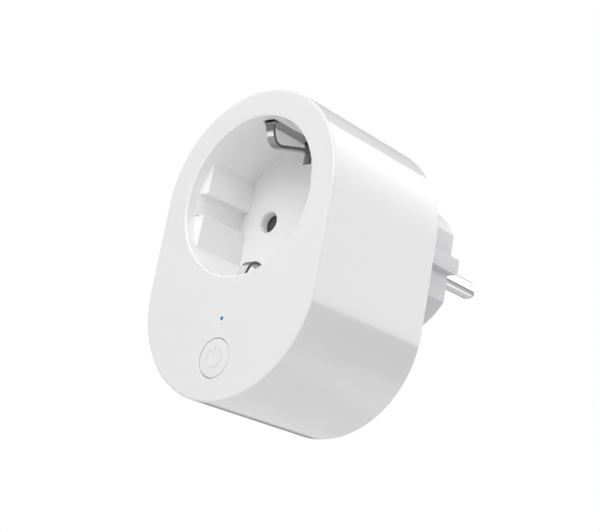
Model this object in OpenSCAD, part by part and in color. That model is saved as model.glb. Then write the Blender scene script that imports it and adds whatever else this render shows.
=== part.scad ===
// Wi-Fi smart plug adapter: an earthed socket with two round pin entries in the front, a matching plug hub
// on the back, and a relay, a push button and a status light between them. Millimetres, +Z up.
// The origin is the middle of the two plug pins at the face they stand on. +Y points into the wall.
// Depths are worked out from the front face, and from_front() moves a piece to its place.

/* [Body] */
// Width of the body
body_w = 54; // [52:0.5:60]
// Height of the body
body_h = 77; // [75:0.5:84]
// Depth of the body without the plug
body_d = 39.6; // [39.6:0.2:41]
// Thickness of the side wall
wall = 2; // [1.8:0.1:2.2]
// Thickness of the front face
face_t = 2; // [1.8:0.1:2.2]
// Rounding of the front edge
edge_r = 0.6; // [0.4:0.1:1.2]

/* [Socket] */
// Diameter of the socket recess
socket_d = 40.2; // [39.8:0.1:40.5]
// Depth of the recess
socket_depth = 18; // [17.5:0.1:18]
// Gap between the guide blocks on the two sides
block_gap = 33.6; // [33:0.1:34]
// How far the guide blocks start behind the front face
block_start = 3; // [2.5:0.1:4]
// Width of the key slot between the guide blocks
key_w = 5.7; // [5:0.1:6]
// Distance of the key slot's flat bottom from the socket's middle
key_x = 19.3; // [19:0.1:19.5]
// Diameter of a pin entry
entry_d = 5.2; // [5.1:0.1:5.6]
// Distance between the pins, and between the entries
pin_pitch = 19; // [19:0.1:19.2]

/* [Earth clips] */
// Width of the earth clip's base leg
base_w = 3.6; // [3:0.1:3.8]
// Width of the earth clip's spring tongue
tongue_w = 2.4; // [2:0.1:2.6]
// Thickness of the earth clip strip
strip_t = 0.8; // [0.6:0.1:0.9]

/* [Plug] */
// Diameter of the plug hub
hub_d = 37; // [36.5:0.1:37]
// Width of the hub across its side flats
hub_flats = 32.4; // [31.5:0.1:33]
// Length of the hub behind the body
hub_l = 20.4; // [20:0.2:22]
// Top of the key rib on the hub, above the pins' middle
rib_top = 2.6; // [2:0.1:2.8]
// Bottom of the key rib, below the pins' middle
rib_bottom = 1.6; // [1.4:0.1:2.6]
// How far the key rib stands out of the hub's end
rib_out = 1; // [0.8:0.1:1.4]
// Diameter of a plug pin
pin_d = 4.8; // [4.7:0.05:4.85]
// Diameter of a plug pin's shank inside the hub
shank_d = 4.4; // [4:0.1:4.6]
// Length of a plug pin outside the hub
pin_l = 19; // [18.5:0.1:19.5]

/* [Button and light] */
// Diameter of the button cap
button_d = 9.3; // [8:0.1:10]
// Gap around the button cap
button_gap = 0.15; // [0.1:0.05:0.3]
// Button centre below the socket centre
button_drop = 39.7; // [38.5:0.1:40.5]
// Diameter of the status light window
light_d = 1; // [0.8:0.1:1.6]
// Status light below the socket centre
light_drop = 30.3; // [29:0.1:32]

/* [Hidden] */

$fn = 96;
slack = 0.1;                                   // gap between pieces that only touch
body_r = body_w / 2;
drop = body_h - body_w;                        // the lower arc's centre below the upper one
bay_r = body_r - wall;                         // inner radius of the shell
socket_r = socket_d / 2;
hub_end = body_d + hub_l;
plug_face = hub_end + rib_out;                 // the origin's distance behind the front face
pin_x = pin_pitch / 2;

floor_t = 2.4;                                 // socket floor
floor_back = socket_depth + floor_t;
cup_r = socket_r + 1.4;                        // outside of the recess wall
pocket_half = base_w / 2 + 0.15;               // half width of an earth clip's pocket
slot_half = tongue_w / 2 + 0.15;               // half width of the tongue's slot in the floor
pocket_z = socket_r + 3.6;                     // top of the pocket, with room for the clip to flex
slot_z = 14.5;                                 // inner end of that slot
key_fillet = 1.5;                              // corners of the key slot
ramp_l = 2;                                    // lead-in ramp at the key slot's front

cover_t = 2;                                   // rear cover plate
cover_y = body_d - cover_t;
hub_wall = 1.8;
groove = 0.9;                                  // depth of the earth grooves in the hub
end_t = 2;                                     // end wall of the hub
rib_edge = 0.5;                                // rounding of the key rib's ends
earth_y = body_d + 0.4;                        // where the hub's earth grooves start
shank_y = 49.9;                                // inner end of a plug pin

button_travel = 0.5;
flange_t = 0.8;
cap_flange_y = face_t + slack;
stem_end = cap_flange_y + flange_t + 0.7;
board_y = 7;                                   // front of the control board
board_t = 1.2;
power_y = 31;                                  // front of the power board
power_t = 1.6;
bay_top = -25;                                 // upper edge of both boards
switch_y = 4.4;                                // front of the switch body
plunger_r = 1.7;

screw_at = [[15.6, 15.2], [-15.6, 15.2], [16.6, -37.6], [-16.6, -37.6]];
boss_r = 3.4;
boss_y = power_y + power_t + 0.4;              // the bosses trap the power board against its components
screw_r = 1.05;
head_r = 2.2;
post_at = [[14, -37], [-14, -37]];             // posts under the control board

carrier_y = floor_back + slack;
carrier_plate_y = 23.4;
tower_end = 35;
contact_r = 3.3;
relay_x = [-20, -3];
relay_z = [-35, -25];
relay_y = [14, power_y];

steel = "#b9bbbe";
brass = "#c9a24a";
shell_white = "#eeeeee";
inner_white = "#e6e6e6";
board_green = "#2f6b45";

module from_front() translate([0, -plug_face, 0]) children();

// A flat outline drawn in X and Z, given thickness from depth a to depth b
module panel(a, b) translate([0, b, 0]) rotate([90, 0, 0]) linear_extrude(b - a) children();

module rod(x, z, a, b, r) translate([x, 0, z]) panel(a, b) circle(r);

// A block from corner p to corner q
module block(p, q) translate(p) cube(q - p);

module mirrored_x() {
    children();
    mirror([1, 0, 0]) children();
}

module mirrored_z() {
    children();
    mirror([0, 0, 1]) children();
}

// A body with two round ends, from half of its section drawn as radius and depth
module round_ended() {
    rotate([90, 0, 0]) rotate_extrude(angle = 180) mirror([0, 1]) children();
    translate([0, 0, -drop]) rotate([90, 0, 0]) rotate([0, 0, 180])
        rotate_extrude(angle = 180) mirror([0, 1]) children();
    translate([0, 0, -drop]) linear_extrude(drop) {
        children();
        mirror([1, 0]) children();
    }
}

// The room between the boards' upper edge and the shell's lower arc, as an outline in X and Z
module bay_outline(margin) {
    intersection() {
        translate([-body_w, -body_h]) square([2 * body_w, body_h + bay_top]);
        union() {
            translate([0, -drop]) circle(bay_r - margin);
            translate([margin - bay_r, -drop]) square([2 * (bay_r - margin), drop]);
        }
    }
}

module shell_section() {
    translate([0, edge_r]) square([body_r, face_t - edge_r]);
    square([body_r - edge_r, edge_r + 0.01]);
    translate([body_r - edge_r, edge_r]) circle(edge_r);
    translate([bay_r, edge_r]) square([wall, body_d - edge_r]);
}

module front_shell() color(shell_white) from_front() {
    difference() {
        union() {
            round_ended() shell_section();
            intersection() {
                for (p = screw_at) rod(p[0], p[1], boss_y, cover_y - slack, boss_r);
                round_ended() square([body_r - wall / 2, body_d]);
            }
            for (p = post_at) rod(p[0], p[1], face_t - 0.5, board_y, 2);
        }
        rod(0, 0, -1, face_t + 1, socket_r);
        translate([0, -slack / 2, 0]) rotate([-90, 0, 0])
            cylinder(h = 0.4, r1 = socket_r + 0.4, r2 = socket_r);
        rod(0, -button_drop, -1, face_t + 1, button_d / 2 + button_gap);
        rod(0, -light_drop, -1, face_t + 1, light_d / 2);
        for (p = screw_at) rod(p[0], p[1], boss_y + 1, body_d, screw_r);
        for (p = post_at) rod(p[0], p[1], face_t + 0.5, board_y + 1, 0.8);
    }
}

// The key slot across both guide blocks, with round corners at its two flat bottoms
module key_outline() {
    square([2 * key_x, key_w - 2 * key_fillet], center = true);
    square([2 * (key_x - key_fillet), key_w], center = true);
    for (x = [-1, 1], z = [-1, 1])
        translate([x * (key_x - key_fillet), z * (key_w / 2 - key_fillet)]) circle(key_fillet);
}

module guide_blocks() {
    difference() {
        panel(block_start, socket_depth + 0.5) circle(socket_r + 0.5);
        block([-block_gap / 2, 0, -socket_d], [block_gap / 2, body_d, socket_d]);
        panel(0, socket_depth) key_outline();
        intersection() {
            translate([0, block_start, 0]) rotate([-90, 0, 0])
                cylinder(h = ramp_l, r1 = socket_r, r2 = key_x);
            block([-socket_d, 0, -key_w / 2], [socket_d, socket_depth, key_w / 2]);
        }
    }
}

module pin_entry(x) {
    rod(x, 0, socket_depth - 1, floor_back + 1, entry_d / 2);
    translate([x, socket_depth - 0.01, 0]) rotate([-90, 0, 0])
        cylinder(h = 0.5, r1 = entry_d / 2 + 0.25, r2 = entry_d / 2);
}

module socket_insert() color(inner_white) from_front() {
    difference() {
        union() {
            difference() {
                union() {
                    rod(0, 0, face_t + slack, floor_back, cup_r);
                    mirrored_z() block([-pocket_half - 0.8, face_t + slack, 0],
                        [pocket_half + 0.8, floor_back, pocket_z + 0.8]);
                }
                rod(0, 0, 0, socket_depth, socket_r);
            }
            guide_blocks();
        }
        mirrored_z() block([-pocket_half, face_t + 0.6, socket_r - 0.8],
            [pocket_half, floor_back + 1, pocket_z]);
        mirrored_z() block([-slot_half, socket_depth - 1, slot_z],
            [slot_half, floor_back + 1, socket_r]);
        pin_entry(pin_x);
        pin_entry(-pin_x);
    }
}

module light_pipe() color("#3a7fd0") from_front() {
    rod(0, -light_drop, 0.02, board_y - 1, light_d / 2 - 0.02);
    rod(0, -light_drop, face_t + slack, face_t + 0.9, 1.4);
}

module button_cap() color(shell_white) from_front() {
    difference() {
        rod(0, -button_drop, 0, cap_flange_y + flange_t, button_d / 2);
        // power symbol, pressed a little into the cap
        difference() {
            rod(0, -button_drop, -1, 0.08, 2.55);
            rod(0, -button_drop, -2, 1, 2.2);
            block([-1.05, -2, -button_drop], [1.05, 1, 4 - button_drop]);
        }
        block([-0.18, -1, 0.6 - button_drop], [0.18, 0.08, 2.9 - button_drop]);
    }
    rod(0, -button_drop, cap_flange_y, cap_flange_y + flange_t, button_d / 2 + 1);
    rod(0, -button_drop, cap_flange_y + flange_t - 0.2, stem_end, 1.5);
}

module switch_body() color("#26282b") from_front() {
    difference() {
        block([-3, switch_y, -button_drop - 3], [3, board_y, 3 - button_drop]);
        rod(0, -button_drop, switch_y - 1, board_y - 0.6, plunger_r + 0.05);
    }
}

module switch_plunger() color("#c9c9c4") from_front()
    rod(0, -button_drop, stem_end + 0.05, board_y - 0.6 - button_travel - slack, plunger_r);

module status_led() color("#dfe6ee") from_front()
    block([-0.8, board_y - 0.8, -light_drop - 0.5], [0.8, board_y, 0.5 - light_drop]);

module control_board() color(board_green) from_front() {
    difference() {
        panel(board_y, board_y + board_t) bay_outline(1);
        for (p = post_at) rod(p[0], p[1], 0, body_d, 1.1);
    }
}

module board_screws() color(steel) from_front() {
    for (p = post_at) {
        rod(p[0], p[1], board_y - 4, board_y + board_t + 0.2, 0.75);
        rod(p[0], p[1], board_y + board_t, board_y + board_t + 1.2, 1.9);
    }
}

module radio_module() color("#1f3f5c") from_front()
    block([4, board_y + board_t, -33.5], [19, board_y + board_t + 0.8, -26]);

module radio_shield() color(steel) from_front()
    block([8, board_y + board_t + 0.8, -33], [18.4, board_y + board_t + 2.8, -26.5]);

module metering_chip() color("#202225") from_front()
    block([-11, board_y + board_t, -33], [-6, board_y + board_t + 1.5, -28]);

module board_header() color("#202225") from_front() {
    block([-5, board_y + board_t, -46], [5, board_y + board_t + 2.5, -44]);
    for (i = [-2:2]) rod(1.9 * i, -45, board_y + board_t + 2, power_y, 0.32);
}

module insulation_sheet() color("#d9d3b8") from_front() {
    difference() {
        panel(12.2, 12.7) bay_outline(0.8);
        block([-5.2, 10, -46.4], [5.2, 15, -43.6]);
    }
}

module shutter() color("#8d9093") from_front() {
    block([-12.8, floor_back + 0.4, -3.3], [12.8, 22.2, 3.3]);
    mirrored_x() rod(pin_x, 0, floor_back + 0.3, floor_back + 0.5, 3.2);
}

// Points around a helix along Z, for the shutter's return spring
spring_turns = 7;
spring_steps = 12;
spring_sides = 6;
spring_z = [-13, -3.4];
spring_coil_r = 0.9;
spring_wire_r = 0.16;

function ring_point(k, s) =
    let (t = 360 * k / spring_steps, w = 360 * s / spring_sides,
        r = spring_coil_r + spring_wire_r * cos(w),
        z = spring_z[0] + spring_wire_r
            + (spring_z[1] - spring_z[0] - 2 * spring_wire_r) * k / (spring_steps * spring_turns))
    [r * cos(t), r * sin(t), z + spring_wire_r * sin(w)];

module shutter_spring() color(steel) from_front() translate([0, 21.9, 0]) {
    last = spring_steps * spring_turns;
    points = [for (k = [0:last]) for (s = [0:spring_sides - 1]) ring_point(k, s)];
    sides = [for (k = [0:last - 1]) for (s = [0:spring_sides - 1])
        let (n = (s + 1) % spring_sides, a = k * spring_sides, b = a + spring_sides)
        [a + s, b + s, b + n, a + n]];
    ends = [[for (s = [0:spring_sides - 1]) s],
        [for (s = [spring_sides - 1:-1:0]) last * spring_sides + s]];
    polyhedron(points, concat(sides, ends), convexity = 10);
}

module contact_carrier() color("#3c3f42") from_front() {
    difference() {
        union() {
            rod(0, 0, carrier_y, carrier_plate_y + 2, cup_r - 0.4);
            mirrored_x() rod(pin_x, 0, carrier_plate_y, tower_end, 4.6);
        }
        // the shutter's chamber, its travel down and the spring's channel
        block([-13.2, 0, -9.8], [13.2, carrier_plate_y, 3.6]);
        block([-1.6, 0, -13], [1.6, carrier_plate_y, 0]);
        mirrored_x() rod(pin_x, 0, 0, carrier_plate_y + 2.6, 3);
        mirrored_x() rod(pin_x, 0, carrier_plate_y + 2, body_d, contact_r + 0.3);
        mirrored_z() block([-pocket_half, 0, slot_z], [pocket_half, body_d, cup_r + 1]);
    }
}

module socket_contact(x) translate([x, 0, 0]) {
    difference() {
        rod(0, 0, 26.2, 36.4, contact_r);
        rod(0, 0, 20, 35.2, 2.35);
        for (a = [0, 90]) rotate([0, a, 0]) block([-4, 20, -0.35], [4, 33.5, 0.35]);
    }
}

module left_socket_contact() color(brass) from_front() socket_contact(-pin_x);

module right_socket_contact() color(brass) from_front() socket_contact(pin_x);

// Side view of an earth clip, as depth and height of the strip's middle line: the wide base leg runs
// along the wall to the front bend, and the narrow tongue goes on over its crest into the floor's slot.
base_path = [[20, 20.4], [4.3, 20.4], [3.6, 20.15], [3.3, 19.4]];
tongue_path = [[3.3, 19.8], [3.5, 18.9], [4.3, 16.6], [5.1, 15.6], [6.3, 15.05], [7.6, 15.1],
    [9, 15.5], [16, 17.45], [19.8, 18.5]];

function unit(v) = v / norm(v);
function across(v) = [-v[1], v[0]];
function strip_normal(path, i) =
    let (n = len(path) - 1,
        a = unit(path[max(i, 1)] - path[max(i, 1) - 1]),
        b = unit(path[min(i + 1, n)] - path[min(i + 1, n) - 1]),
        m = across(unit(a + b)))
    m / (m * across(a));

module strip_outline(path) polygon(concat(
    [for (i = [0:len(path) - 1]) path[i] + strip_t / 2 * strip_normal(path, i)],
    [for (i = [len(path) - 1:-1:0]) path[i] - strip_t / 2 * strip_normal(path, i)]));

// An outline drawn as depth and height, given a width across X
module across_x(w) rotate([90, 0, 90]) translate([0, 0, -w / 2]) linear_extrude(w) children();

module earth_clip() {
    across_x(base_w) strip_outline(base_path);
    across_x(tongue_w) strip_outline(tongue_path);
}

module upper_earth_clip() color(steel) from_front() earth_clip();

module lower_earth_clip() color(steel) from_front() mirror([0, 0, 1]) earth_clip();

module power_board() color(board_green) from_front() panel(power_y, power_y + power_t) bay_outline(0.6);

module relay_case() color("#33536e") from_front() {
    difference() {
        block([relay_x[0], relay_y[0], relay_z[0]], [relay_x[1], relay_y[1], relay_z[1]]);
        block([relay_x[0] + 0.8, relay_y[0] + 0.8, relay_z[0] + 0.8],
            [relay_x[1] - 0.8, relay_y[1] - 1.2, relay_z[1] - 0.8]);
    }
}

module relay_coil() color("#a8552f") from_front() {
    rod(-14.8, -30, 17.6, 28.8, 3.2);
    rod(-14.8, -30, 17, 17.6, 3.9);
    rod(-14.8, -30, 28.8, 29.8, 3.9);
    block([-10.2, 16.6, -33], [-9, 29.8, -27]);
    block([-15, 28.9, -31], [-9.1, 29.8, -29]);
}

module relay_armature() color(steel) from_front()
    block([-18.4, 15.6, -33.4], [-5.6, 16.4, -26.6]);

module transformer() color("#2b2d2f") from_front() {
    block([-1, 17, -35.5], [11, 20, -25.5]);
    block([-1, 26, -35.5], [11, power_y, -25.5]);
    rod(5, -30.5, 19.5, 26.5, 4.8);
}

module film_capacitor() color("#d8b23c") from_front()
    block([13, 20, -33], [21, power_y, -25.5]);

module bulk_capacitor() color("#2c4a86") from_front() rod(-7, -41, 16, power_y, 3.9);

module varistor() color("#2f74b5") from_front() {
    translate([-1, 0, 0]) rotate([90, 0, 90]) translate([26.6, -41, 0]) cylinder(h = 3, r = 3.6);
    for (z = [-43.5, -38.5]) rod(0.5, z, 27, power_y, 0.4);
}

module fuse() color("#8a6a4a") from_front() rod(5.4, -41, 20, power_y, 1.9);

module bridge_rectifier() color("#202225") from_front()
    block([8.5, 28.2, -43], [12.5, power_y, -39]);

module current_shunt() color("#b0794c") from_front() {
    difference() {
        block([-8, power_y + power_t, -31], [0.5, power_y + power_t + 1.8, -28]);
        block([-6.5, power_y, -32], [-1, power_y + power_t + 1, -27]);
    }
}

module neutral_busbar() color(brass) from_front() {
    block([-11.5, 36.5, -2.4], [-7.5, 37.3, 2.4]);
    block([-7.5 - 0.8, 36.5, -2.4], [-7.5, 49.9, 2.4]);
    block([-11.5, 49.1, -2.4], [-7.5, 49.9, 2.4]);
}

module live_busbar_in() color(brass) from_front() {
    block([2.6, 49.1, -2.4], [11.5, 49.9, 2.4]);
    block([2.6, 35.4, -2.4], [3.4, 49.9, 2.4]);
    block([2.6, 35.4, -33], [5.6, 36.2, 2.4]);
    block([2.6, power_y + power_t, -33], [5.6, 36.2, -32.2]);
}

module live_busbar_out() color(brass) from_front() {
    block([7.5, 36.5, -33], [11.5, 37.3, 2.4]);
    block([7.5, power_y + power_t, -33], [11.5, 37.3, -32.2]);
}

module earth_bracket() color(steel) from_front() {
    half = base_w / 2;
    strap_z = hub_d / 2 - groove;
    mirrored_z() {
        block([-half, 20.7, 16.2], [half, 21.5, 21.2]);
        block([-half, 20.7, 16.2], [half, earth_y, 17]);
        block([-half, earth_y - 0.8, 16.2], [half, earth_y, strap_z - 0.02]);
    }
    block([-half, 37.2, -16.6], [half, 38, 16.6]);
}

module plug_earth() intersection() {
    block([-3, earth_y + 0.05, hub_d / 2 - groove], [3, hub_end - 1.2, hub_d / 2]);
    rod(0, 0, body_d, hub_end, hub_d / 2 - 0.1);
}

module upper_plug_earth() color(steel) from_front() plug_earth();

module lower_plug_earth() color(steel) from_front() mirror([0, 0, 1]) plug_earth();

module pin_carrier() color("#3c3f42") from_front() {
    difference() {
        panel(50.2, hub_end - end_t - slack) intersection() {
            circle(hub_d / 2 - hub_wall - groove - slack);
            square([hub_flats - 2 * hub_wall - 2 * slack, hub_d], center = true);
        }
        mirrored_x() rod(pin_x, 0, 45, body_d + 40, shank_d / 2);
        mirrored_x() rod(pin_x, 0, 55.9, body_d + 40, 3.4);
    }
}

module plug_pin(x) translate([x, 0, 0]) rotate([-90, 0, 0]) rotate_extrude() {
    tip_r = 1.9;
    translate([0, shank_y]) square([shank_d / 2, plug_face - shank_y]);
    translate([0, plug_face]) square([pin_d / 2, pin_l - tip_r]);
    translate([0, shank_y]) square([pin_d / 2 - tip_r, plug_face + pin_l - shank_y]);
    intersection() {
        translate([pin_d / 2 - tip_r, plug_face + pin_l - tip_r]) circle(tip_r);
        square([pin_d, 100]);
    }
    translate([0, 56]) square([3.3, hub_end - end_t - 0.1 - 56]);
}

module left_plug_pin() color(steel) from_front() plug_pin(-pin_x);

module right_plug_pin() color(steel) from_front() plug_pin(pin_x);

module hub_outline(inset, flats) {
    intersection() {
        circle(hub_d / 2 - inset);
        square([flats, hub_d], center = true);
    }
}

// A band of the full round hub that fills its side flats and crosses its end
module key_rib() {
    intersection() {
        rotate([-90, 0, 0]) rotate_extrude() {
            translate([0, cover_y + 1]) square([hub_d / 2, plug_face - rib_edge - cover_y - 1]);
            translate([0, cover_y + 1]) square([hub_d / 2 - rib_edge, plug_face - cover_y - 1]);
            translate([hub_d / 2 - rib_edge, plug_face - rib_edge]) circle(rib_edge);
        }
        block([-hub_d, 0, -rib_bottom], [hub_d, plug_face + 1, rib_top]);
    }
}

module rear_cover() color(shell_white) from_front() {
    difference() {
        union() {
            round_ended() translate([0, cover_y]) square([bay_r - slack, cover_t]);
            panel(cover_y, hub_end) hub_outline(0, hub_flats);
            key_rib();
        }
        panel(cover_y - 1, hub_end - end_t)
            hub_outline(hub_wall + groove, hub_flats - 2 * hub_wall);
        mirrored_x() rod(pin_x, 0, body_d, plug_face + 1, shank_d / 2);
        mirrored_z() block([-3.05, earth_y, hub_d / 2 - groove], [3.05, hub_end - 1.1, hub_d]);
        mirrored_z() block([-base_w / 2 - 0.1, cover_y - 1, 15.5],
            [base_w / 2 + 0.1, earth_y + 0.1, hub_d / 2 - groove + 0.1]);
        for (p = screw_at) rod(p[0], p[1], cover_y - 1, body_d + 1, screw_r + 0.3);
        for (p = screw_at) rod(p[0], p[1], body_d - 1.2, body_d + 1, head_r + 0.15);
    }
}

module cover_screws() color(steel) from_front() {
    for (p = screw_at) {
        rod(p[0], p[1], boss_y + 1.2, body_d - 1, screw_r);
        difference() {
            rod(p[0], p[1], body_d - 1.2, body_d - 0.1, head_r);
            translate([p[0], 0, p[1]]) panel(body_d - 0.8, body_d + 1) circle(1.1, $fn = 3);
        }
    }
}

front_shell();
socket_insert();
light_pipe();
button_cap();
switch_body();
switch_plunger();
status_led();
control_board();
board_screws();
radio_module();
radio_shield();
metering_chip();
board_header();
insulation_sheet();
shutter();
shutter_spring();
contact_carrier();
left_socket_contact();
right_socket_contact();
upper_earth_clip();
lower_earth_clip();
power_board();
relay_case();
relay_coil();
relay_armature();
transformer();
film_capacitor();
bulk_capacitor();
varistor();
fuse();
bridge_rectifier();
current_shunt();
neutral_busbar();
live_busbar_in();
live_busbar_out();
earth_bracket();
upper_plug_earth();
lower_plug_earth();
pin_carrier();
left_plug_pin();
right_plug_pin();
rear_cover();
cover_screws();
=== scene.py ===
from math import cos, pi, radians, sin

import bmesh
import bpy
from mathutils import Matrix, Vector


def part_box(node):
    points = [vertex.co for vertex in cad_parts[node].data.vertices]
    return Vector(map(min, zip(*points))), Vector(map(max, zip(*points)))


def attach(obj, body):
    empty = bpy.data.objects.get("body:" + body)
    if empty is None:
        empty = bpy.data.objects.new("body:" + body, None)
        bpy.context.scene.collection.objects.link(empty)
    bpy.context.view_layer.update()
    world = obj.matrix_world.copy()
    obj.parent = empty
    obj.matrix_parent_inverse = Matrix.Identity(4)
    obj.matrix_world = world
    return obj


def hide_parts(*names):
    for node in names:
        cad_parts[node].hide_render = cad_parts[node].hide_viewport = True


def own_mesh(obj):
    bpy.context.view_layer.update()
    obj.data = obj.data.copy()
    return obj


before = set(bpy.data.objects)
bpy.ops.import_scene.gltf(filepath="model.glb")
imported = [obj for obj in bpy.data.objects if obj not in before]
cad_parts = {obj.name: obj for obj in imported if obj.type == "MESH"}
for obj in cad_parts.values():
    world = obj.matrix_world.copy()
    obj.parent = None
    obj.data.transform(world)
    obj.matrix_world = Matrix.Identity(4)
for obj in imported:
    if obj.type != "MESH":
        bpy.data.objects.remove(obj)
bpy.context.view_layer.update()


# ---- Rear cover -------------------------------------------------------------------------------------------
# The back of the plug: an oval plate with the round plug hub on it, moulded in one piece from white
# polycarbonate. The hub has flats on its two sides and a key rib across its end. Four screws hold it.

MM = 0.001                        # pieces are drawn in millimetres, behind the front face
face_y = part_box("front_shell")[0].y
body_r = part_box("front_shell")[1].x / MM
drop = -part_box("front_shell")[0].z / MM - body_r       # from the upper arc's centre down to the lower one's


def depth_of(node):
    """How far behind the front face a CAD node starts and ends, in millimetres."""
    low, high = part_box(node)
    return (low.y - face_y) / MM, (high.y - face_y) / MM


def chain(bm, section, x=0, z=0):
    """A row of edges through a section's points, each a radius and a depth."""
    verts = [bm.verts.new((x + radius, depth, z)) for radius, depth in section]
    return verts + [bm.edges.new(pair) for pair in zip(verts, verts[1:])]


def arc(radius, centre, start, end, steps=6):
    """Points of a round corner in a section, from one angle to another."""
    turns = [radians(start + (end - start) * i / steps) for i in range(steps + 1)]
    return [(centre[0] + radius * cos(t), centre[1] + radius * sin(t)) for t in turns]


def turned(bm, section, x=0, z=0, steps=96):
    """A piece turned about an axis along Y."""
    bmesh.ops.spin(bm, geom=chain(bm, section, x, z), cent=(x, 0, z), axis=(0, 1, 0), angle=2 * pi,
                   steps=steps, use_merge=True)
    bmesh.ops.remove_doubles(bm, verts=bm.verts, dist=1e-3)


def oval(bm, section, steps=96):
    """A section carried round the body's outline: half a turn, down a side, half a turn and up the other."""
    geom = chain(bm, section)
    for centre, travel in ((0, -drop), (-drop, drop)):
        geom = bmesh.ops.spin(bm, geom=geom, cent=(0, 0, centre), axis=(0, -1, 0), angle=pi,
                              steps=steps)["geom_last"]
        edges = [part for part in geom if isinstance(part, bmesh.types.BMEdge)]
        geom = bmesh.ops.extrude_edge_only(bm, edges=edges)["geom"]
        geom = [part for part in geom if not isinstance(part, bmesh.types.BMFace)]
        bmesh.ops.translate(bm, verts=[part for part in geom if isinstance(part, bmesh.types.BMVert)],
                            vec=(0, 0, travel))
    bmesh.ops.remove_doubles(bm, verts=bm.verts, dist=1e-3)


def rod(bm, x, z, start, end, radius, end_radius=None, segments=128):
    """A round bar or bore along Y, or a cone when its end has a radius of its own."""
    place = Matrix.Translation((x, (start + end) / 2, z)) @ Matrix.Rotation(-pi / 2, 4, "X")
    bmesh.ops.create_cone(bm, cap_ends=True, segments=segments, radius1=radius,
                          radius2=radius if end_radius is None else end_radius,
                          depth=end - start, matrix=place)


def slab(bm, low, high):
    """A block between two corners."""
    low, high = Vector(low), Vector(high)
    size = Matrix.Diagonal((*(high - low), 1))
    bmesh.ops.create_cube(bm, size=1, matrix=Matrix.Translation((low + high) / 2) @ size)


def solid(name, draw, *settings, **options):
    """An object from one drawing function, in the frame and in metres, with its faces outwards."""
    bm = bmesh.new()
    draw(bm, *settings, **options)
    bmesh.ops.recalc_face_normals(bm, faces=bm.faces)
    bmesh.ops.scale(bm, verts=bm.verts, vec=(MM, MM, MM))
    bmesh.ops.translate(bm, verts=bm.verts, vec=(0, face_y, 0))
    mesh = bpy.data.meshes.new(name)
    bm.to_mesh(mesh)
    bm.free()
    made = bpy.data.objects.new(name, mesh)
    bpy.context.scene.collection.objects.link(made)
    return made


def settle(piece):
    """Applies a piece's modifiers to its mesh."""
    graph = bpy.context.evaluated_depsgraph_get()
    piece.data = bpy.data.meshes.new_from_object(piece.evaluated_get(graph))
    piece.modifiers.clear()


def combine(piece, operation, tool):
    """Cuts a tool out of a piece, joins it on or keeps only what they share, and throws the tool away."""
    modifier = piece.modifiers.new(operation, "BOOLEAN")
    modifier.operation = operation
    modifier.solver = "EXACT"
    modifier.object = tool
    settle(piece)
    bpy.data.objects.remove(tool)


def smooth(piece, edge=0.0, segments=3, sharp=35, where=None):
    """Rounds the edges of a moulded or stamped piece, in millimetres, and smooths its curved faces. Given a
    test of a point's place, it rounds only the edges whose ends both pass."""
    if edge:
        bm = bmesh.new()
        bm.from_mesh(piece.data)
        bmesh.ops.remove_doubles(bm, verts=bm.verts, dist=0.02 * MM)
        bm.to_mesh(piece.data)
        bm.free()
    for polygon in piece.data.polygons:
        polygon.use_smooth = True
    piece.data.set_sharp_from_angle(angle=radians(sharp))
    if edge:
        chosen = [where is None or where(vert.co.x / MM, (vert.co.y - face_y) / MM)
                  for vert in piece.data.vertices]
        weights = piece.data.attributes.new("bevel_weight_edge", "FLOAT", "EDGE")
        for line in piece.data.edges:
            inside = all(chosen[i] for i in line.vertices)
            weights.data[line.index].value = float(line.use_edge_sharp and inside)
        rounding = piece.modifiers.new("edges", "BEVEL")
        rounding.width = edge * MM
        rounding.segments = segments
        rounding.limit_method = "WEIGHT"
        rounding.harden_normals = True
        rounding.use_clamp_overlap = where is None
    piece.modifiers.new("normals", "WEIGHTED_NORMAL").keep_sharp = True


def add_node(material, kind, inputs=None, **settings):
    """Adds a shader node with its settings, and fills or links its sockets by name or number."""
    added = material.node_tree.nodes.new(kind)
    for setting, value in settings.items():
        setattr(added, setting, value)
    for socket, value in (inputs or {}).items():
        if isinstance(value, bpy.types.NodeSocket):
            material.node_tree.links.new(value, added.inputs[socket])
        else:
            added.inputs[socket].default_value = value
    return added


def linear(colour):
    """An sRGB hex colour as linear red, green, blue and alpha."""
    parts = [int(colour[i:i + 2], 16) / 255 for i in (1, 3, 5)]
    return [p / 12.92 if p <= 0.04045 else ((p + 0.055) / 1.055) ** 2.4 for p in parts] + [1.0]


def blank_material(name):
    """A material with an empty node tree, and its Object coordinates."""
    material = bpy.data.materials.new(name)
    material.use_nodes = True
    material.node_tree.nodes.clear()
    return material, add_node(material, "ShaderNodeTexCoord").outputs["Object"]


def give_surface(material, shader):
    """Sends a shader to the material's surface."""
    add_node(material, "ShaderNodeOutputMaterial", {"Surface": shader.outputs[0]})
    return material


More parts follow.
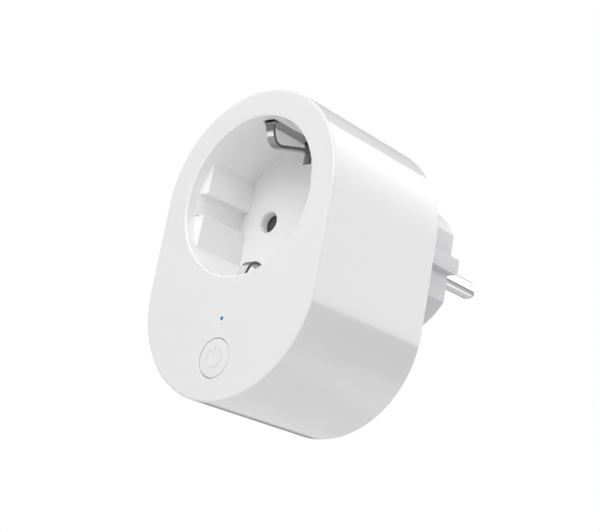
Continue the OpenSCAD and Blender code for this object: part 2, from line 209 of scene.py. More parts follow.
def moulded(name, colour, roughness, grain=0.35, relief=0.004, ior=1.5, drift=12, tint=0.03):
    """Injection-moulded plastic. The gloss drifts a little over the part, as the melt filled the mould,
    and the mould's spark-eroded or polished skin leaves a fine grain of the given size in millimetres."""
    material, place = blank_material(name)
    flow = add_node(material, "ShaderNodeTexNoise", {"Vector": place, "Scale": 1 / (drift * MM), "Detail": 3})
    skin = add_node(material, "ShaderNodeTexNoise", {"Vector": place, "Scale": 1 / (grain * MM), "Detail": 2})
    gloss = add_node(material, "ShaderNodeMapRange", {
        "Value": flow.outputs["Fac"], "From Min": 0.3, "From Max": 0.7,
        "To Min": roughness * 0.88, "To Max": roughness * 1.14})
    pale = linear(colour)
    deep = [channel * (1 - tint) for channel in pale[:3]] + [1.0]
    shade = add_node(material, "ShaderNodeMix", {0: flow.outputs["Fac"], 6: pale, 7: deep}, data_type="RGBA")
    bump = add_node(material, "ShaderNodeBump", {
        "Height": skin.outputs["Fac"], "Strength": 0.5, "Distance": relief * MM})
    return give_surface(material, add_node(material, "ShaderNodeBsdfPrincipled", {
        "Base Color": shade.outputs[2], "Roughness": gloss.outputs["Result"], "IOR": ior,
        "Normal": bump.outputs["Normal"]}))


def finish(piece, material, body="housing", nodes=()):
    """Gives a new piece its material and body, and hides the CAD nodes that it stands for."""
    piece.data.materials.clear()
    piece.data.materials.append(material)
    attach(piece, body)
    if nodes:
        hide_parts(*nodes)


cover_start, hub_end = depth_of("rear_cover")
plate_t = 2.0
plate_end = cover_start + plate_t
rib_out = 1.0                     # the rib stands this far out of the hub's end
hub_end -= rib_out
hub_r = 18.5
flat_x = 16.2                     # the hub's side flats
rib_z = (-1.6, 2.6)
plate_r = body_r - 2.1
hub_wall, flat_wall, end_wall = 2.7, 1.8, 2.0
collar_r = 3.3                    # the pins' collars are the widest part of them
pin_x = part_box("right_plug_pin")[0].x / MM + collar_r
pin_bore_r, screw_bore_r, sink_r, sink_depth = 2.2, 1.35, 2.35, 1.2
groove_z = hub_r - 0.9            # bottom of the grooves for the earth strips
groove_half, groove_wall, strap_half, strap_z = 3.05, 1.1, 1.9, 15.5
groove_start = plate_end + 0.4
screw_places = [(15.6, 15.2), (-15.6, 15.2), (16.6, -37.6), (-16.6, -37.6)]


def draw_plate(bm):
    oval(bm, [(plate_r, cover_start), (plate_r, plate_end)])
    bmesh.ops.holes_fill(bm, edges=bm.edges, sides=0)


def draw_pair(bm, low, high):
    """The same block above and below the pins' middle."""
    slab(bm, low, high)
    slab(bm, (low[0], low[1], -high[2]), (high[0], high[1], -low[2]))


def draw_rods(bm, places, start, end, radius, segments=64):
    for x, z in places:
        rod(bm, x, z, start, end, radius, segments=segments)


def flatted(name, radius, half, start, end):
    """A round bar with a flat on each side."""
    bar = solid(name, rod, 0, 0, start, end, radius, segments=192)
    combine(bar, "INTERSECT", solid("flats", slab, (-half, start - 1, -radius - 1),
                                    (half, end + 1, radius + 1)))
    return bar


rear_cover = solid("rear_cover_shell", draw_plate)
combine(rear_cover, "UNION", flatted("hub", hub_r, flat_x, cover_start + 0.5, hub_end))
rib = solid("rib", rod, 0, 0, cover_start + 1, hub_end + rib_out, hub_r, segments=192)
combine(rib, "INTERSECT", solid("rib_band", slab, (-20, 30, rib_z[0]), (20, 70, rib_z[1])))
combine(rear_cover, "UNION", rib)
combine(rear_cover, "DIFFERENCE", flatted("hollow", hub_r - hub_wall, flat_x - flat_wall, cover_start - 1,
                                          hub_end - end_wall))
for radius, places, start, end in (
        (pin_bore_r, [(-pin_x, 0), (pin_x, 0)], plate_end, hub_end + 3),
        (screw_bore_r, screw_places, cover_start - 1, plate_end + 1),
        (sink_r, screw_places, plate_end - sink_depth, plate_end + 1)):
    combine(rear_cover, "DIFFERENCE", solid("bores", draw_rods, places, start, end, radius))
combine(rear_cover, "DIFFERENCE", solid("grooves", draw_pair, (-groove_half, groove_start, groove_z),
                                        (groove_half, hub_end - groove_wall, 20)))
combine(rear_cover, "DIFFERENCE", solid("straps", draw_pair, (-strap_half, cover_start - 1, strap_z),
                                        (strap_half, groove_start + 0.1, groove_z + 0.1)))
smooth(rear_cover, edge=0.3)

# Satin white polycarbonate: the mould's fine spark-eroded skin keeps its reflections soft.
# The cover's white is set deeper than the case's: painted shade for the dimmer light that reaches the plug's
# back.
satin_white_painted_shade = moulded("satin_moulded_polycarbonate_white_painted_shade", "#d2d2d4", 0.45, grain=0.3, relief=0.006)
finish(rear_cover, satin_white_painted_shade, nodes=["rear_cover"])


# ---- Plug pins --------------------------------------------------------------------------------------------
# Two solid brass pins, turned on a lathe and nickel plated, with a collar that the pin carrier clamps.
# Each has a shoulder at the rib and a rounded tip.

def metal(name, colour, roughness, line, stretch=(1, 1, 1), relief=0.002, wear=0.25):
    """A worked metal surface: fine marks of the given spacing in millimetres, drawn out along the axes with
    a low stretch, and slow patches where handling or plating changed the gloss."""
    material, place = blank_material(name)
    marks_at = add_node(material, "ShaderNodeMapping", {"Vector": place, "Scale": stretch})
    marks = add_node(material, "ShaderNodeTexNoise", {
        "Vector": marks_at.outputs["Vector"], "Scale": 1 / (line * MM), "Detail": 3, "Roughness": 0.6})
    patches = add_node(material, "ShaderNodeTexNoise", {"Vector": place, "Scale": 1 / (3 * MM), "Detail": 2})
    both = add_node(material, "ShaderNodeMath", {0: marks.outputs["Fac"], 1: patches.outputs["Fac"]},
                    operation="MULTIPLY")
    gloss = add_node(material, "ShaderNodeMapRange", {
        "Value": both.outputs["Value"], "From Min": 0.1, "From Max": 0.4,
        "To Min": roughness * (1 - wear), "To Max": roughness * (1 + wear)})
    pale = linear(colour)
    dull = [channel * 0.86 for channel in pale[:3]] + [1.0]
    shade = add_node(material, "ShaderNodeMix", {0: patches.outputs["Fac"], 6: pale, 7: dull},
                     data_type="RGBA")
    bump = add_node(material, "ShaderNodeBump", {
        "Height": marks.outputs["Fac"], "Strength": 0.4, "Distance": relief * MM})
    return give_surface(material, add_node(material, "ShaderNodeBsdfPrincipled", {
        "Base Color": shade.outputs[2], "Metallic": 1.0, "Roughness": gloss.outputs["Result"],
        "Normal": bump.outputs["Normal"]}))


# Bright nickel on turned brass: mirror-like, with hardly visible rings round the pin.
turned_nickel = metal("turned_brass_bright_nickel_plated", "#d8d8da", 0.1, 0.25, stretch=(0.05, 1, 0.05))

pin_start, pin_end = depth_of("right_plug_pin")
pin_r, shank_r, tip_r = 2.4, 2.2, 1.9
collar = (56, hub_end - 2.1)
pin_section = [
    (0, pin_start), (shank_r, pin_start), (shank_r, collar[0]), (collar_r, collar[0]), (collar_r, collar[1]),
    (shank_r, collar[1]), (shank_r, hub_end + rib_out), (pin_r - 0.12, hub_end + rib_out),
    (pin_r, hub_end + rib_out + 0.12), *arc(tip_r, (pin_r - tip_r, pin_end - tip_r), 0, 90, steps=12),
    (0, pin_end)]
for side, x in (("left", -pin_x), ("right", pin_x)):
    pin = solid(side + "_turned_pin", turned, pin_section, x, 0)
    smooth(pin, sharp=40)
    finish(pin, turned_nickel, nodes=[side + "_plug_pin"])


# ---- Plug earth strips ------------------------------------------------------------------------------------
# Two nickel-plated brass strips that lie in the hub's grooves, at its top and bottom, and touch the wall
# socket's earth clips. They are stamped, with a slight curve across that follows the hub.

# Nickel on stamped strip: bright, with rolling lines along the strip.
rolled_nickel = metal("rolled_strip_nickel_plated", "#b9b9b9", 0.16, 0.2, stretch=(1, 0.06, 1))

for side, up in (("upper", 1), ("lower", -1)):
    start, end = depth_of(side + "_plug_earth")
    inner, outer = sorted((up * groove_z, up * hub_r))
    strip = solid(side + "_hub_strip", slab, (-3, start, inner), (3, end, outer))
    combine(strip, "INTERSECT", solid("hub_curve", rod, 0, 0, start - 1, end + 1, hub_r - 0.1, segments=192))
    smooth(strip, edge=0.15)
    finish(strip, rolled_nickel, nodes=[side + "_plug_earth"])


# ---- Pin carrier, busbars and earth bracket ---------------------------------------------------------------
# A black glass-filled carrier fills the hub and holds the pins' collars. Bent brass strips lead the mains
# from the pins to the power board and the socket, and a plated bracket joins all four earth contacts.

def dress(material, *nodes):
    """Gives CAD nodes that keep their own shape a material."""
    for name in nodes:
        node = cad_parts[name]
        node.data.materials.clear()
        node.data.materials.append(material)


# Glass-filled nylon: dark and dull, with the glass showing as a coarse pale grain.
black_nylon = moulded("moulded_glass_filled_nylon_black", "#33363a", 0.55, grain=0.25, relief=0.02, tint=0.2)
# Half-hard brass, stamped and bent: warm, with rolling lines and duller patches.
rolled_brass = metal("stamped_rolled_brass", "#c8a45a", 0.3, 0.25, stretch=(1, 1, 0.08))

dress(black_nylon, "pin_carrier", "contact_carrier")
dress(rolled_brass, "neutral_busbar", "live_busbar_in", "live_busbar_out",
      "left_socket_contact", "right_socket_contact")
dress(rolled_nickel, "earth_bracket")


# ---- Power board and its components -----------------------------------------------------------------------
# A green glass-epoxy board across the lower bay carries the relay, the supply's transformer, the
# capacitors, the varistor, the fuse, the rectifier and the current shunt, all soldered through it.

def circuit_board(name, mask, track):
    """Glass-epoxy board under solder mask: tracks show through the mask as slightly paler, raised lines."""
    material, place = blank_material(name)
    cells = add_node(material, "ShaderNodeTexVoronoi", {"Vector": place, "Scale": 1 / (2.6 * MM)},
                     feature="F1", distance="CHEBYCHEV")
    lines = add_node(material, "ShaderNodeMapRange", {
        "Value": cells.outputs["Distance"], "From Min": 0.3, "From Max": 0.36, "To Min": 0.0, "To Max": 1.0})
    weave = add_node(material, "ShaderNodeTexWave", {
        "Vector": place, "Scale": 1 / (0.9 * MM), "Distortion": 0.4})
    shade = add_node(material, "ShaderNodeMix", {
        0: lines.outputs["Result"], 6: linear(mask), 7: linear(track)}, data_type="RGBA")
    height = add_node(material, "ShaderNodeMath", {
        0: weave.outputs["Fac"], 1: 0.15, 2: lines.outputs["Result"]}, operation="MULTIPLY_ADD")
    bump = add_node(material, "ShaderNodeBump", {"Height": height.outputs["Value"], "Strength": 0.5,
                                                 "Distance": 0.035 * MM})
    gloss = add_node(material, "ShaderNodeMapRange", {
        "Value": weave.outputs["Fac"], "To Min": 0.28, "To Max": 0.4})
    return give_surface(material, add_node(material, "ShaderNodeBsdfPrincipled", {
        "Base Color": shade.outputs[2], "Roughness": gloss.outputs["Result"], "IOR": 1.5,
        "Normal": bump.outputs["Normal"]}))


def wound(name, colour, gap, wire):
    """Enamelled wire wound in turns along the depth, which a larger wire value draws coarser."""
    material, place = blank_material(name)
    turns = add_node(material, "ShaderNodeTexWave", {"Vector": place, "Scale": 1 / (wire * MM) / 20},
                     bands_direction="Y", wave_profile="SIN")
    lay = add_node(material, "ShaderNodeTexNoise", {"Vector": place, "Scale": 1 / (2 * MM), "Detail": 2})
    shade = add_node(material, "ShaderNodeMix", {0: turns.outputs["Fac"], 6: linear(gap), 7: linear(colour)},
                     data_type="RGBA")
    gloss = add_node(material, "ShaderNodeMapRange", {
        "Value": lay.outputs["Fac"], "To Min": 0.22, "To Max": 0.42})
    bump = add_node(material, "ShaderNodeBump", {"Height": turns.outputs["Fac"], "Strength": 0.8,
                                                 "Distance": wire / 4 * MM})
    return give_surface(material, add_node(material, "ShaderNodeBsdfPrincipled", {
        "Base Color": shade.outputs[2], "Metallic": 0.7, "Roughness": gloss.outputs["Result"],
        "Normal": bump.outputs["Normal"]}))


dress(circuit_board("glass_epoxy_board_green_solder_mask", "#1c5a35", "#2f7a4a"),
      "power_board", "control_board")
# Nylon relay case, translucent blue and fairly glossy.
dress(moulded("moulded_nylon_relay_blue", "#2f5678", 0.3, grain=0.4), "relay_case")
# Enamelled copper wire, drawn much coarser than the real 0.1 mm so that its turns can be seen.
dress(wound("enamelled_copper_winding", "#b0643a", "#5a2a16", 0.4), "relay_coil")
# Soft iron: grey, satin and a little streaky from the rolling.
dress(metal("stamped_soft_iron", "#9a9b9d", 0.38, 0.3, stretch=(1, 1, 0.1)), "relay_armature")
# Sintered ferrite: near black, dense and matt like a fine stone.
dress(moulded("sintered_ferrite_black", "#2a2a2c", 0.62, grain=0.15, relief=0.015, tint=0.25), "transformer")
# Flame-retardant box filled with resin: plain yellow, smooth.
dress(moulded("moulded_polybutylene_yellow", "#cfa536", 0.36, grain=0.5), "film_capacitor")
# Shrunk vinyl sleeve over an aluminium can: glossy with soft wrinkles.
dress(moulded("shrunk_vinyl_sleeve_blue", "#27437e", 0.2, grain=1.4, relief=0.03), "bulk_capacitor")
# Epoxy dip over a zinc oxide disc: glossy with an orange-peel skin.
dress(moulded("dipped_epoxy_blue", "#2b6fb0", 0.25, grain=0.9, relief=0.03), "varistor")
# Fired ceramic tube: dull, sandy and slightly speckled.
dress(moulded("fired_ceramic_tan", "#a08a68", 0.7, grain=0.2, relief=0.015, tint=0.2), "fuse")
# Transfer-moulded epoxy: black and matt with a fine grain.
black_epoxy = moulded("transfer_moulded_epoxy_black", "#1d1e20", 0.5, grain=0.15, relief=0.008, tint=0.3)
dress(black_epoxy, "bridge_rectifier", "metering_chip", "board_header", "switch_body")
# Resistance alloy strip, rolled: coppery and satin.
dress(metal("rolled_manganin_strip", "#b5835c", 0.32, 0.25, stretch=(0.08, 1, 1)), "current_shunt")


# ---- Control board and its components ---------------------------------------------------------------------
# A second board behind the front face carries the radio module under its tinned can, the metering chip,
# the push switch and the status light. Two screws hold it to posts, and a pressed sheet insulates it.

dress(circuit_board("glass_epoxy_board_blue_solder_mask", "#17324f", "#24507a"), "radio_module")
# Tinned steel can, folded from sheet: pale, soft streaks, a little cloudy.
dress(metal("folded_tinned_steel", "#c9cbcc", 0.28, 0.3, stretch=(1, 1, 0.12)), "radio_shield")
# Zinc-plated cold-headed steel: pale grey with a faint blue cast.
zinc_steel = metal("cold_headed_steel_zinc_plated", "#bfc3c8", 0.3, 0.3, stretch=(1, 0.3, 1))
dress(zinc_steel, "board_screws")
# Vulcanised fibre sheet: tan, matt, with pressed fibres.
dress(moulded("pressed_vulcanised_fibre", "#cfc6a4", 0.75, grain=0.35, relief=0.03, tint=0.12),
      "insulation_sheet")
# Acetal plunger: off-white, waxy.
dress(moulded("moulded_acetal_natural", "#cfcfc8", 0.35, grain=0.3), "switch_plunger")
# Clear epoxy over a small light-emitting diode.
dress(moulded("cast_epoxy_clear_pale", "#dfe8f2", 0.12, grain=0.5, relief=0.002), "status_led")


# ---- Shutter and its spring -------------------------------------------------------------------------------
# A grey acetal plate behind the socket's floor closes both entries until two pins push it down together.
# A small music-wire spring below it brings it back up, and shortens as it slides.

# Grey acetal: moulded satin, the same grey all through.
# Its dark grey is partly the plate's own and partly painted shade, for the shadow down the pin entries.
dress(moulded("moulded_acetal_grey_and_painted_shade", "#4e5053", 0.35, grain=0.25, relief=0.01), "shutter")
# Music wire, drawn: bright, with lines along the wire too fine to see, so drawn coarser.
music_wire = metal("drawn_music_wire", "#b9bcc0", 0.22, 0.2)

spring_low, spring_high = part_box("shutter_spring")
coil_bottom, coil_top = spring_low.z / MM, spring_high.z / MM
coil_depth = ((spring_low.y + spring_high.y) / 2 - face_y) / MM
wire_r, coil_r, coil_turns, turn_steps = 0.16, 0.9, 7, 24


def draw_coil(bm):
    """A ring of wire swept up round the coil's axis, with its two ends closed."""
    place = Matrix.Translation((coil_r, coil_depth, coil_bottom + wire_r)) @ Matrix.Rotation(pi / 2, 4, "X")
    ring = bmesh.ops.create_circle(bm, segments=10, radius=wire_r, matrix=place)
    steps = coil_turns * turn_steps
    rise = (coil_top - coil_bottom - 2 * wire_r) / steps
    bmesh.ops.spin(bm, geom=ring["verts"] + list(bm.edges), cent=(0, coil_depth, 0), axis=(0, 0, 1),
                   dvec=(0, 0, rise), angle=2 * pi * coil_turns, steps=steps)
    bmesh.ops.holes_fill(bm, edges=bm.edges, sides=0)


spring = solid("shutter_return_spring", draw_coil)
smooth(spring, sharp=50)
settle(spring)
finish(spring, music_wire, nodes=["shutter_spring"])
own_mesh(spring)


# ---- Socket insert ----------------------------------------------------------------------------------------
# The recess that takes a plug: a white moulding in the shell's round hole, with four guide blocks, two key
# slots between them, the two pin entries in its floor and a slotted pocket for each earth clip.

recess_r, recess_depth = 20.1, 18.0
cup_r = recess_r + 1.4
cup_end = depth_of("socket_insert")[1]
cup_start = 2.0                   # it butts against the back of the front face
block_x, block_start = 16.8, 3.0
key_x, key_half, key_fillet = 19.3, 2.85, 1.5
pocket_half, pocket_top, slot_half = 1.95, recess_r + 3.6, 1.35
entry_r, entry_x, lead_in = 2.6, 9.5, 0.26


def draw_blocks(bm):
    """What is left of a disc outside the gap between the guide blocks."""
    slab(bm, (-recess_r - 1, block_start - 1, -15), (-block_x, recess_depth + 1, 15))
    slab(bm, (block_x, block_start - 1, -15), (recess_r + 1, recess_depth + 1, 15))


def draw_key_slots(bm):
    """The key slots, with round corners at their flat bottoms."""
    for x in (-1, 1):
        inner, outer = sorted((x * (block_x - 1), x * key_x))
        outline = bmesh.ops.create_circle(bm, cap_ends=False, segments=4, radius=1)["verts"]
        corners = ((inner, -key_half), (outer, -key_half), (outer, key_half), (inner, key_half))
        for vert, (across, up) in zip(outline, corners):
            vert.co = (across, block_start - 1, up)
    faces = bmesh.ops.holes_fill(bm, edges=bm.edges, sides=0)["faces"]
    walls = bmesh.ops.extrude_face_region(bm, geom=faces)["geom"]
    bmesh.ops.translate(bm, verts=[part for part in walls if isinstance(part, bmesh.types.BMVert)],
                        vec=(0, recess_depth - block_start + 1, 0))
    corner_edges = [edge for edge in bm.edges
                    if all(abs(abs(vert.co.x) - key_x) < 0.01 for vert in edge.verts)
                    and abs(edge.verts[0].co.y - edge.verts[1].co.y) > 1]
    bmesh.ops.bevel(bm, geom=corner_edges, offset=key_fillet, offset_type="OFFSET", segments=8, profile=0.5,
                    affect="EDGES", material=-1)


socket_insert = solid("socket_recess", rod, 0, 0, cup_start, cup_end, cup_r, segments=192)
combine(socket_insert, "UNION", solid("pockets", draw_pair, (-pocket_half - 0.8, cup_start, 15),
                                      (pocket_half + 0.8, cup_end, pocket_top + 0.8)))
combine(socket_insert, "DIFFERENCE", solid("recess", rod, 0, 0, 0, recess_depth, recess_r, segments=192))
blocks = solid("blocks", rod, 0, 0, block_start, recess_depth + 0.5, recess_r + 0.5, segments=192)
combine(blocks, "INTERSECT", solid("block_space", draw_blocks))
combine(blocks, "DIFFERENCE", solid("key_slots", draw_key_slots))
ramp = solid("ramp", rod, 0, 0, block_start, block_start + 2, recess_r, end_radius=key_x, segments=192)
combine(ramp, "INTERSECT", solid("ramp_band", slab, (-30, 0, -key_half), (30, 30, key_half)))
combine(blocks, "DIFFERENCE", ramp)
combine(socket_insert, "UNION", blocks)
combine(socket_insert, "DIFFERENCE", solid("pocket_holes", draw_pair,
                                           (-pocket_half, cup_start + 0.5, recess_r - 0.8),
                                           (pocket_half, cup_end + 1, pocket_top)))
combine(socket_insert, "DIFFERENCE", solid("floor_slots", draw_pair, (-slot_half, recess_depth - 1, 14.5),
                                           (slot_half, cup_end + 1, recess_r)))
for x in (-entry_x, entry_x):
    combine(socket_insert, "DIFFERENCE", solid("entry", rod, x, 0, recess_depth - 1, cup_end + 1, entry_r,
                                               segments=96))
    combine(socket_insert, "DIFFERENCE", solid("lead_in", rod, x, 0, recess_depth - 0.02, recess_depth + 0.5,
                                               entry_r + lead_in, end_radius=entry_r, segments=96))
smooth(socket_insert, edge=0.12, segments=2, where=lambda x, depth: (
    abs(x) > block_x - 0.1 and block_start - 0.1 < depth < recess_depth + 0.1))

# Polished white polycarbonate: the recess is brighter and glossier than the case.
gloss_white = moulded("polished_moulded_polycarbonate_white", "#f3f3f3", 0.16, grain=0.5, relief=0.003)
finish(socket_insert, gloss_white, nodes=["socket_insert"])


# ---- Earth clips ------------------------------------------------------------------------------------------
# Two clips of nickel-plated spring strip, at the top and bottom of the recess. A wide base leg lies along
# the wall, and a narrower tongue is bent back over a crest into the slot in the floor.

clip_t = 0.8
# Depth and height of the strip's middle line, and half its width there.
clip_rows = [(20, 20.4, 1.8), (12, 20.4, 1.8), (5, 20.4, 1.8), (4, 20.35, 1.8), (3.45, 20, 1.8),
             (3.3, 19.5, 1.8), (3.35, 19.2, 1.2), (3.55, 18.6, 1.2), (4.3, 16.6, 1.2), (5.05, 15.45, 1.2),
             (6.3, 14.85, 1.2), (7.7, 14.95, 1.2), (9.5, 15.6, 1.2), (16, 17.45, 1.2), (19.8, 18.5, 1.2)]

# Spring nickel, rolled bright, and its sheared edges: darker and rougher, with the shear's short lines.
spring_nickel = metal("rolled_spring_strip_nickel_plated", "#a3a3a3", 0.09, 0.2, stretch=(1, 0.06, 1))
sheared_nickel = metal("sheared_strip_edge_nickel_plated", "#7c7c7c", 0.3, 0.15, stretch=(0.1, 1, 1),
                       relief=0.006)


def draw_clip(bm, up):
    """The strip's middle surface, one row of faces, for subdivision and thickness to finish."""
    rows = [[bm.verts.new((half * x, depth, up * height)) for x in (-1, 1)]
            for depth, height, half in clip_rows]
    edges = [bm.edges.new(row) for row in rows]
    for pair in zip(edges, edges[1:]):
        bmesh.ops.bridge_loops(bm, edges=pair)


for side, up in (("upper", 1), ("lower", -1)):
    clip = solid(side + "_spring_clip", draw_clip, up)
    bend = clip.modifiers.new("bend", "SUBSURF")
    bend.levels = bend.render_levels = 3
    bend.boundary_smooth = "PRESERVE_CORNERS"
    strip = clip.modifiers.new("strip", "SOLIDIFY")
    strip.thickness = clip_t * MM
    strip.offset = 0
    settle(clip)
    smooth(clip, edge=0.08, segments=2, sharp=50)
    finish(clip, spring_nickel, body=side + "_earth_clip", nodes=[side + "_earth_clip"])
    clip.data.materials.append(sheared_nickel)
    for polygon in clip.data.polygons:
        polygon.material_index = int(abs(polygon.normal.x) > 0.9)


# ---- Front shell ------------------------------------------------------------------------------------------
# The case: one deep white shell, moulded with its flat front face, the round hole for the recess and the
# small holes for the button and the light. Posts inside take the cover's and the control board's screws.

face_t, shell_wall, face_edge, back_edge, hole_edge = 2.0, 2.0, 0.6, 0.25, 0.35
shell_end = depth_of("front_shell")[1]
inner_r = body_r - shell_wall
low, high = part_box("button_cap")
button_z = (low.z + high.z) / 2 / MM
low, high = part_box("light_pipe")
light_z = (low.z + high.z) / 2 / MM
button_r, button_gap, light_r = 4.65, 0.15, 0.5


def draw_front_shell(bm):
    oval(bm, [*arc(face_edge, (body_r - face_edge, face_edge), -90, 0), (body_r, shell_end - back_edge),
              *arc(back_edge, (body_r - back_edge, shell_end - back_edge), 0, 90, steps=3),
              (inner_r, shell_end), (inner_r, face_t)])
    for z, radius, edge in ((0, recess_r, hole_edge), (button_z, button_r + button_gap, 0.12),
                            (light_z, light_r, 0.05)):
        turned(bm, [*arc(edge, (radius + edge, edge), -90, -180, steps=4), (radius, face_t)], 0, z,
               steps=192 if edge == hole_edge else 64)
    for depth in (0, face_t):
        rim = [edge for edge in bm.edges
               if edge.is_boundary and all(abs(vert.co.y - depth) < 1e-3 for vert in edge.verts)]
        bmesh.ops.triangle_fill(bm, use_beauty=True, edges=rim)


def draw_posts(bm):
    """Hollow posts: four for the cover's screws, and two in front of the control board."""
    board_places = [(-14, -37), (14, -37)]
    for places, bore, radius, start, end in ((screw_places, 1.05, 3.2, 33, 37.5),
                                             (board_places, 0.8, 2, 1.5, 7)):
        for x, z in places:
            turned(bm, [(bore, start), (radius, start), (radius, end), (bore, end), (bore, start)], x, z,
                   steps=32)


front_shell = solid("front_case", draw_front_shell)
smooth(front_shell, sharp=40)
# Polished white polycarbonate again, a shade deeper in the thick-walled case.
case_white = moulded("polished_case_polycarbonate_white", "#e5e5e6", 0.13, grain=0.6, relief=0.003)
finish(front_shell, case_white, nodes=["front_shell"])
# The round hole's wall has the recess's brighter polish.
front_shell.data.materials.append(gloss_white)
for polygon in front_shell.data.polygons:
    middle = polygon.center
    in_hole = Vector((middle.x, middle.z)).length < (recess_r + hole_edge / 2) * MM
    polygon.material_index = int(in_hole and middle.y < face_y + face_t * MM)
posts = solid("front_case_posts", draw_posts)
smooth(posts, sharp=40)
finish(posts, case_white)


# ---- Button -----------------------------------------------------------------------------------------------
# A round cap in the shell's small hole, with a faint power mark pressed into it. A flange behind the face
# keeps it in, and a stem pushes the switch.

cap_edge = 0.22
cap_flange = (2.1, 2.9)
stem_r, stem_end = 1.5, depth_of("button_cap")[1]
mark_r, mark_w, mark_depth = 2.35, 0.42, 0.15
mark_gap = 64                     # degrees that the ring is open at its top
bar_low, bar_high = 0.7, 2.75


def draw_mark(bm):
    """An open ring and a bar, as a tool that presses the mark."""
    ring = [(mark_r - mark_w / 2, -1), (mark_r + mark_w / 2, -1), (mark_r + mark_w / 2, mark_depth),
            (mark_r - mark_w / 2, mark_depth), (mark_r - mark_w / 2, -1)]
    profile = chain(bm, ring, 0, button_z)
    bmesh.ops.rotate(bm, verts=bm.verts, cent=(0, 0, button_z),
                     matrix=Matrix.Rotation(radians(mark_gap / 2 - 90), 3, "Y"))
    bmesh.ops.spin(bm, geom=profile, cent=(0, 0, button_z), axis=(0, 1, 0), angle=radians(360 - mark_gap),
                   steps=64)
    bmesh.ops.remove_doubles(bm, verts=bm.verts, dist=1e-3)
    bmesh.ops.holes_fill(bm, edges=bm.edges, sides=0)
    slab(bm, (-mark_w / 2, -1, button_z + bar_low), (mark_w / 2, mark_depth, button_z + bar_high))


button = solid("button", turned, [
    (0, 0), *arc(cap_edge, (button_r - cap_edge, cap_edge), -90, 0, steps=5), (button_r, cap_flange[0]),
    (button_r + 1, cap_flange[0]), (button_r + 1, cap_flange[1]), (stem_r, cap_flange[1]), (stem_r, stem_end),
    (0, stem_end)], 0, button_z)
combine(button, "DIFFERENCE", solid("mark", draw_mark))
smooth(button, sharp=40)
finish(button, case_white, body="button", nodes=["button_cap"])


# ---- Light pipe -------------------------------------------------------------------------------------------
# A thin clear rod from the status light to the front face, lit blue, with a collar behind the face. Its
# front end is slightly domed.

def lit_window(name, core, rim, glow):
    """Clear acrylic with light inside: strongest at the middle of the window, paler towards its edge."""
    material, place = blank_material(name)
    centred = add_node(material, "ShaderNodeMapping", {
        "Vector": place, "Location": (0, 0, -light_z * MM / (light_r * MM)),
        "Scale": (1 / (light_r * MM), 0, 1 / (light_r * MM))})
    reach = add_node(material, "ShaderNodeVectorMath", {0: centred.outputs["Vector"]}, operation="LENGTH")
    fade = add_node(material, "ShaderNodeMapRange", {
        "Value": reach.outputs["Value"], "From Min": 0.35, "From Max": 1.0})
    grain = add_node(material, "ShaderNodeTexNoise", {"Vector": place, "Scale": 1 / (0.2 * MM)})
    colour = add_node(material, "ShaderNodeMix", {0: fade.outputs["Result"], 6: linear(core), 7: linear(rim)},
                      data_type="RGBA")
    gloss = add_node(material, "ShaderNodeMapRange", {
        "Value": grain.outputs["Fac"], "To Min": 0.1, "To Max": 0.2})
    return give_surface(material, add_node(material, "ShaderNodeBsdfPrincipled", {
        "Base Color": colour.outputs[2], "Roughness": gloss.outputs["Result"], "IOR": 1.49,
        "Emission Color": colour.outputs[2], "Emission Strength": glow}))


pipe_start, pipe_end = depth_of("light_pipe")
pipe_r = light_r - 0.02
light_pipe = solid("light_window", turned, [
    (0, pipe_start), (pipe_r * 0.5, pipe_start + 0.01), (pipe_r * 0.85, pipe_start + 0.04),
    (pipe_r, pipe_start + 0.1), (pipe_r, 2.1), (1.4, 2.1), (1.4, 2.9), (pipe_r, 2.9), (pipe_r, pipe_end),
    (0, pipe_end)], 0, light_z, steps=48)
smooth(light_pipe, sharp=50)
finish(light_pipe, lit_window("lit_clear_acrylic_blue", "#0b5c9c", "#2f7fc0", 0.22),
       nodes=["light_pipe"])


# ---- Cover screws -----------------------------------------------------------------------------------------
# Four zinc-plated screws through the rear cover into the shell's posts, cold headed with a three-winged
# recess so that they can't be turned with a common driver.

screw_start, screw_end = depth_of("cover_screws")
head_r, head_t, thread_r = 2.2, 1.1, 1.05
wing_depth, wing_reach, wing_half = 0.7, 1.15, 0.24


def draw_screws(bm):
    head = screw_end - head_t
    for x, z in screw_places:
        turned(bm, [(0, screw_start), (thread_r - 0.3, screw_start), (thread_r, screw_start + 0.4),
                    (thread_r, head), (head_r, head),
                    *arc(0.3, (head_r - 0.3, screw_end - 0.3), 0, 90, steps=4), (0, screw_end)],
               x, z, steps=48)


def draw_wings(bm):
    for x, z in screw_places:
        for turn in (90, 210, 330):
            before = set(bm.verts)
            slab(bm, (-0.05, screw_end - wing_depth, -wing_half), (wing_reach, screw_end + 1, wing_half))
            added = [vert for vert in bm.verts if vert not in before]
            bmesh.ops.rotate(bm, verts=added, cent=(0, 0, 0), matrix=Matrix.Rotation(radians(turn), 3, "Y"))
            bmesh.ops.translate(bm, verts=added, vec=(x, 0, z))


cover_screws = solid("four_cover_screws", draw_screws)
wings = cover_screws.modifiers.new("wings", "BOOLEAN")
wings.operation = "DIFFERENCE"
wings.solver = "EXACT"
wings.use_self = True
wings.object = solid("wings", draw_wings)
settle(cover_screws)
bpy.data.objects.remove(bpy.data.objects["wings"])
smooth(cover_screws, sharp=40)
finish(cover_screws, zinc_steel, nodes=["cover_screws"])


# ---- Studio -----------------------------------------------------------------------------------------------
# A plain pale round floor well below the plug, a white surround that is dim behind it, low on its left,
# panels for the reflections, lamps for the soft shading and the camera, which looks up from its right front.

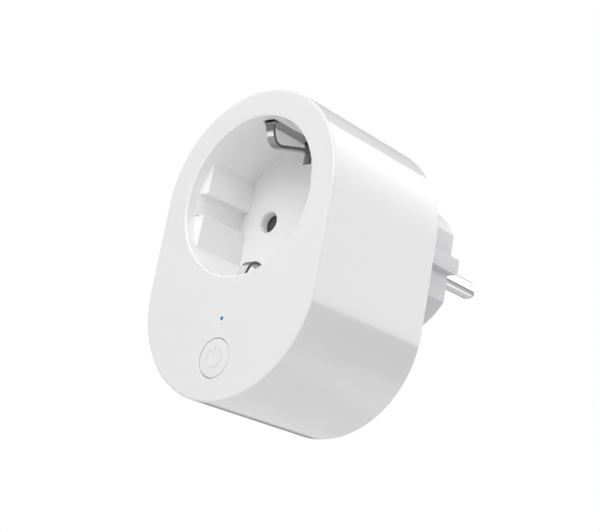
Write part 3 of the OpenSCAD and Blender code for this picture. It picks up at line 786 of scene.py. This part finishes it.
azimuth, elevation, roll = radians(44.267), radians(-14.609), radians(10.501)
distance, offset = 0.35139, (0.0272, -0.00176)
back = Vector((sin(azimuth) * cos(elevation), -cos(azimuth) * cos(elevation), sin(elevation)))
level = Vector((0, 0, 1)).cross(back).normalized()
upright = back.cross(level)
right = cos(roll) * level + sin(roll) * upright
up = cos(roll) * upright - sin(roll) * level
camera = bpy.data.objects.new("camera", bpy.data.cameras.new("camera"))
camera.data.sensor_width = 36
camera.data.lens = 78.81
camera.data.clip_start = 0.01
camera.matrix_world = Matrix.Translation(distance * back - offset[0] * right - offset[1] * up) @ Matrix(
    (right, up, back)).transposed().to_4x4()
bpy.context.scene.collection.objects.link(camera)
bpy.context.scene.camera = camera

world = bpy.data.worlds.new("white_surround")
bpy.context.scene.world = world
world.use_nodes = True
world.node_tree.nodes.clear()
seen = add_node(world, "ShaderNodeLightPath").outputs["Is Camera Ray"]
ways = add_node(world, "ShaderNodeTexCoord").outputs["Generated"]
towards = add_node(world, "ShaderNodeVectorMath", {0: ways, 1: (-0.6, 0.69, -0.4)}, operation="DOT_PRODUCT")
level_of = add_node(world, "ShaderNodeMapRange", {
    "Value": towards.outputs["Value"], "From Min": 0.6, "From Max": 0.9, "To Min": 0.47, "To Max": 0.08})
soft = add_node(world, "ShaderNodeBackground", {
    "Color": linear("#ffffff"), "Strength": level_of.outputs["Result"]})
white = add_node(world, "ShaderNodeBackground", {"Color": linear("#ffffff"), "Strength": 1.0})
surround = add_node(world, "ShaderNodeMixShader", {0: seen, 1: soft.outputs[0], 2: white.outputs[0]})
add_node(world, "ShaderNodeOutputWorld", {"Surface": surround.outputs[0]})


def panel(name, place, target, width, height, radiance, glossy=True, diffuse=True):
    """A flat soft light that faces a point and isn't seen itself. It can be kept for the reflections or for
    the soft shading alone."""
    light = bpy.data.lights.new(name, "AREA")
    light.shape = "RECTANGLE"
    light.size, light.size_y = width, height
    light.energy = radiance * width * height * pi
    holder = bpy.data.objects.new(name, light)
    holder.location = place
    holder.rotation_euler = (Vector(target) - Vector(place)).to_track_quat("-Z", "Y").to_euler()
    holder.visible_camera = False
    holder.visible_glossy = glossy
    holder.visible_diffuse = diffuse
    bpy.context.scene.collection.objects.link(holder)


panel("side_panel", (0.30, 0.55, 0.504), (0, -0.04, 0.504), 1.0, 0.99, 2.6, diffuse=False)
panel("low_panel", (0.0935, 0.181, -0.18), (0.0095, -0.01, 0), 0.12, 0.1, 0.6, diffuse=False)
panel("upper_left_panel", (-0.55, -0.35, 0.52), (0, -0.06, -0.02), 0.5, 0.4, 1.6, diffuse=False)
panel("lower_left_panel", (-0.50, -0.55, -0.19), (0, -0.06, 0.02), 0.4, 0.14, 1.7, diffuse=False)
panel("front_lamp", (0.15, -0.7, 0.55), (0, -0.05, -0.01), 0.6, 0.6, 3.6)
panel("right_fill", (0.8, -0.6, 0.2), (0, -0.05, -0.01), 0.7, 0.7, 0.95, glossy=False)
panel("left_fill", (-0.9, 0.1, 0.3), (0, -0.04, -0.02), 0.6, 0.6, 2.0, glossy=False)
panel("back_fill", (-0.3, 0.9, 0.35), (0, 0, 0), 0.6, 0.6, 2.4, glossy=False)
sky = bpy.data.lights.new("sky", "SUN")
sky.energy, sky.angle = 1.0, radians(60)
overhead = bpy.data.objects.new("sky", sky)
overhead.visible_glossy = False
bpy.context.scene.collection.objects.link(overhead)


def draw_floor(bm):
    bmesh.ops.create_circle(bm, cap_ends=True, segments=256, radius=1100,
                            matrix=Matrix.Translation((0, 0, -220)))


floor = solid("floor", draw_floor)
floor.data.materials.append(moulded("painted_studio_floor_pale", "#d4d4d4", 0.6, grain=4, relief=0.05,
                                    drift=400))

bpy.context.scene.view_settings.view_transform = "Standard"
